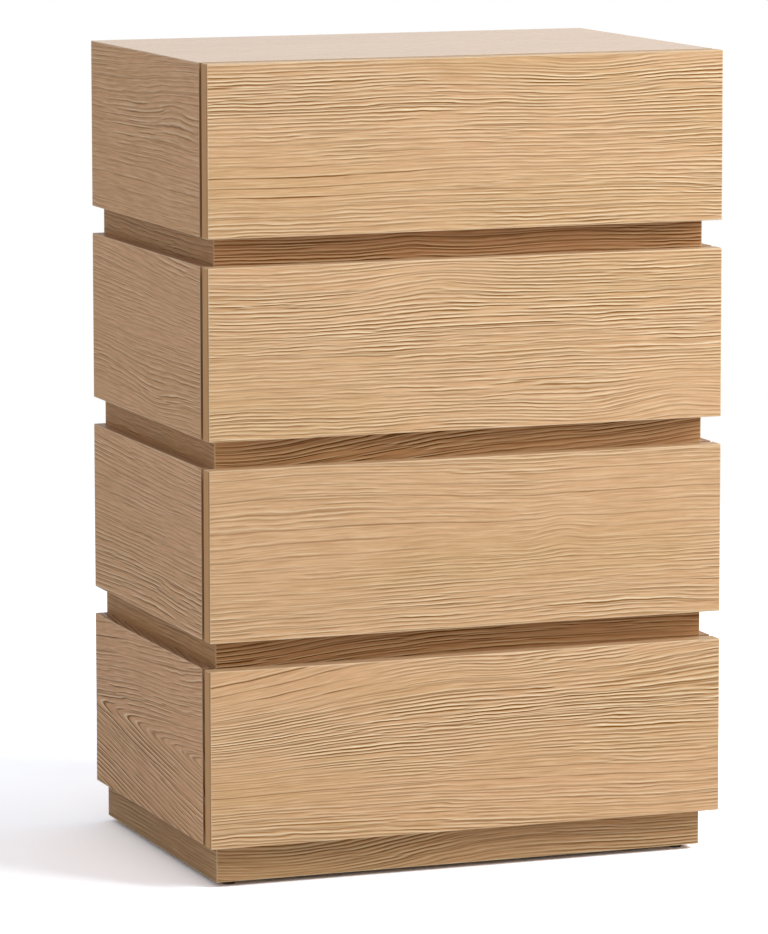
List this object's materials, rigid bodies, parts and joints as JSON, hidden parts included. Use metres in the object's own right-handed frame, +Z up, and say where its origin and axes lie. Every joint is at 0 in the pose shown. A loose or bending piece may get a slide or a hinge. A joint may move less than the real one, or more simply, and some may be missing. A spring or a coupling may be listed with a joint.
{
  "type": "chest of drawers",
  "caption": "Tall oak chest with full-width handleless drawers on ball-bearing runners, stacked tiers with recessed bands between them, and a recessed plinth.",
  "frame": {"origin": "on the floor under the middle of the chest, at the centre of its plan", "axes": "+Z up; the drawers face -Y and open along it; +X to the right of someone who faces the drawers"},
  "size_m": [0.6, 0.41, 0.9],
  "materials": {
    "oak_veneer": "satin",
    "drawer_wood": "satin",
    "softwood": "matte",
    "zinc_steel": "satin",
    "glide_plastic": "matte",
    "bumper_rubber": "matte"
  },
  "bodies": {
    "carcass": {"top_panel": "oak_veneer", "left_side_panel": "oak_veneer", "right_side_panel": "oak_veneer", "bottom_panel": "oak_veneer", "back_panel": "oak_veneer", "top_rail": "oak_veneer", "plinth_front": "oak_veneer", "plinth_sides": "oak_veneer", "plinth_back": "oak_veneer", "corner_blocks": "softwood", "glides": "glide_plastic", "bumpers": "bumper_rubber", "carcass_screws": "zinc_steel", "band_rail_1": "oak_veneer", "band_rail_2": "oak_veneer", "band_rail_3": "oak_veneer", "left_outer_board_1": "oak_veneer", "right_outer_board_1": "oak_veneer", "cabinet_runners_1": "zinc_steel", "left_outer_board_2": "oak_veneer", "right_outer_board_2": "oak_veneer", "cabinet_runners_2": "zinc_steel", "left_outer_board_3": "oak_veneer", "right_outer_board_3": "oak_veneer", "cabinet_runners_3": "zinc_steel", "left_outer_board_4": "oak_veneer", "right_outer_board_4": "oak_veneer", "cabinet_runners_4": "zinc_steel"},
    "drawer_1": {"drawer_front_1": "oak_veneer", "drawer_inner_front_1": "drawer_wood", "drawer_left_side_1": "drawer_wood", "drawer_right_side_1": "drawer_wood", "drawer_back_1": "drawer_wood", "drawer_bottom_1": "drawer_wood", "drawer_runners_1": "zinc_steel"},
    "middle_members_1": {"middle_runners_1": "zinc_steel"},
    "drawer_2": {"drawer_front_2": "oak_veneer", "drawer_inner_front_2": "drawer_wood", "drawer_left_side_2": "drawer_wood", "drawer_right_side_2": "drawer_wood", "drawer_back_2": "drawer_wood", "drawer_bottom_2": "drawer_wood", "drawer_runners_2": "zinc_steel"},
    "middle_members_2": {"middle_runners_2": "zinc_steel"},
    "drawer_3": {"drawer_front_3": "oak_veneer", "drawer_inner_front_3": "drawer_wood", "drawer_left_side_3": "drawer_wood", "drawer_right_side_3": "drawer_wood", "drawer_back_3": "drawer_wood", "drawer_bottom_3": "drawer_wood", "drawer_runners_3": "zinc_steel"},
    "middle_members_3": {"middle_runners_3": "zinc_steel"},
    "drawer_4": {"drawer_front_4": "oak_veneer", "drawer_inner_front_4": "drawer_wood", "drawer_left_side_4": "drawer_wood", "drawer_right_side_4": "drawer_wood", "drawer_back_4": "drawer_wood", "drawer_bottom_4": "drawer_wood", "drawer_runners_4": "zinc_steel"},
    "middle_members_4": {"middle_runners_4": "zinc_steel"}
  },
  "joints": [
    {"name": "drawer_slide_1", "type": "slide", "parent": "carcass", "child": "drawer_1", "axis": [0, -1, 0], "range_m": [0, 0.35]},
    {"name": "runner_slide_1", "type": "slide", "parent": "carcass", "child": "middle_members_1", "axis": [0, -1, 0], "range_m": [0, 0.175]},
    {"name": "drawer_slide_2", "type": "slide", "parent": "carcass", "child": "drawer_2", "axis": [0, -1, 0], "range_m": [0, 0.35]},
    {"name": "runner_slide_2", "type": "slide", "parent": "carcass", "child": "middle_members_2", "axis": [0, -1, 0], "range_m": [0, 0.175]},
    {"name": "drawer_slide_3", "type": "slide", "parent": "carcass", "child": "drawer_3", "axis": [0, -1, 0], "range_m": [0, 0.35]},
    {"name": "runner_slide_3", "type": "slide", "parent": "carcass", "child": "middle_members_3", "axis": [0, -1, 0], "range_m": [0, 0.175]},
    {"name": "drawer_slide_4", "type": "slide", "parent": "carcass", "child": "drawer_4", "axis": [0, -1, 0], "range_m": [0, 0.35]},
    {"name": "runner_slide_4", "type": "slide", "parent": "carcass", "child": "middle_members_4", "axis": [0, -1, 0], "range_m": [0, 0.175]}
  ],
  "couplings": [
    {"joint": "runner_slide_1", "follows": "drawer_slide_1", "ratio": 0.5},
    {"joint": "runner_slide_2", "follows": "drawer_slide_2", "ratio": 0.5},
    {"joint": "runner_slide_3", "follows": "drawer_slide_3", "ratio": 0.5},
    {"joint": "runner_slide_4", "follows": "drawer_slide_4", "ratio": 0.5}
  ]
}
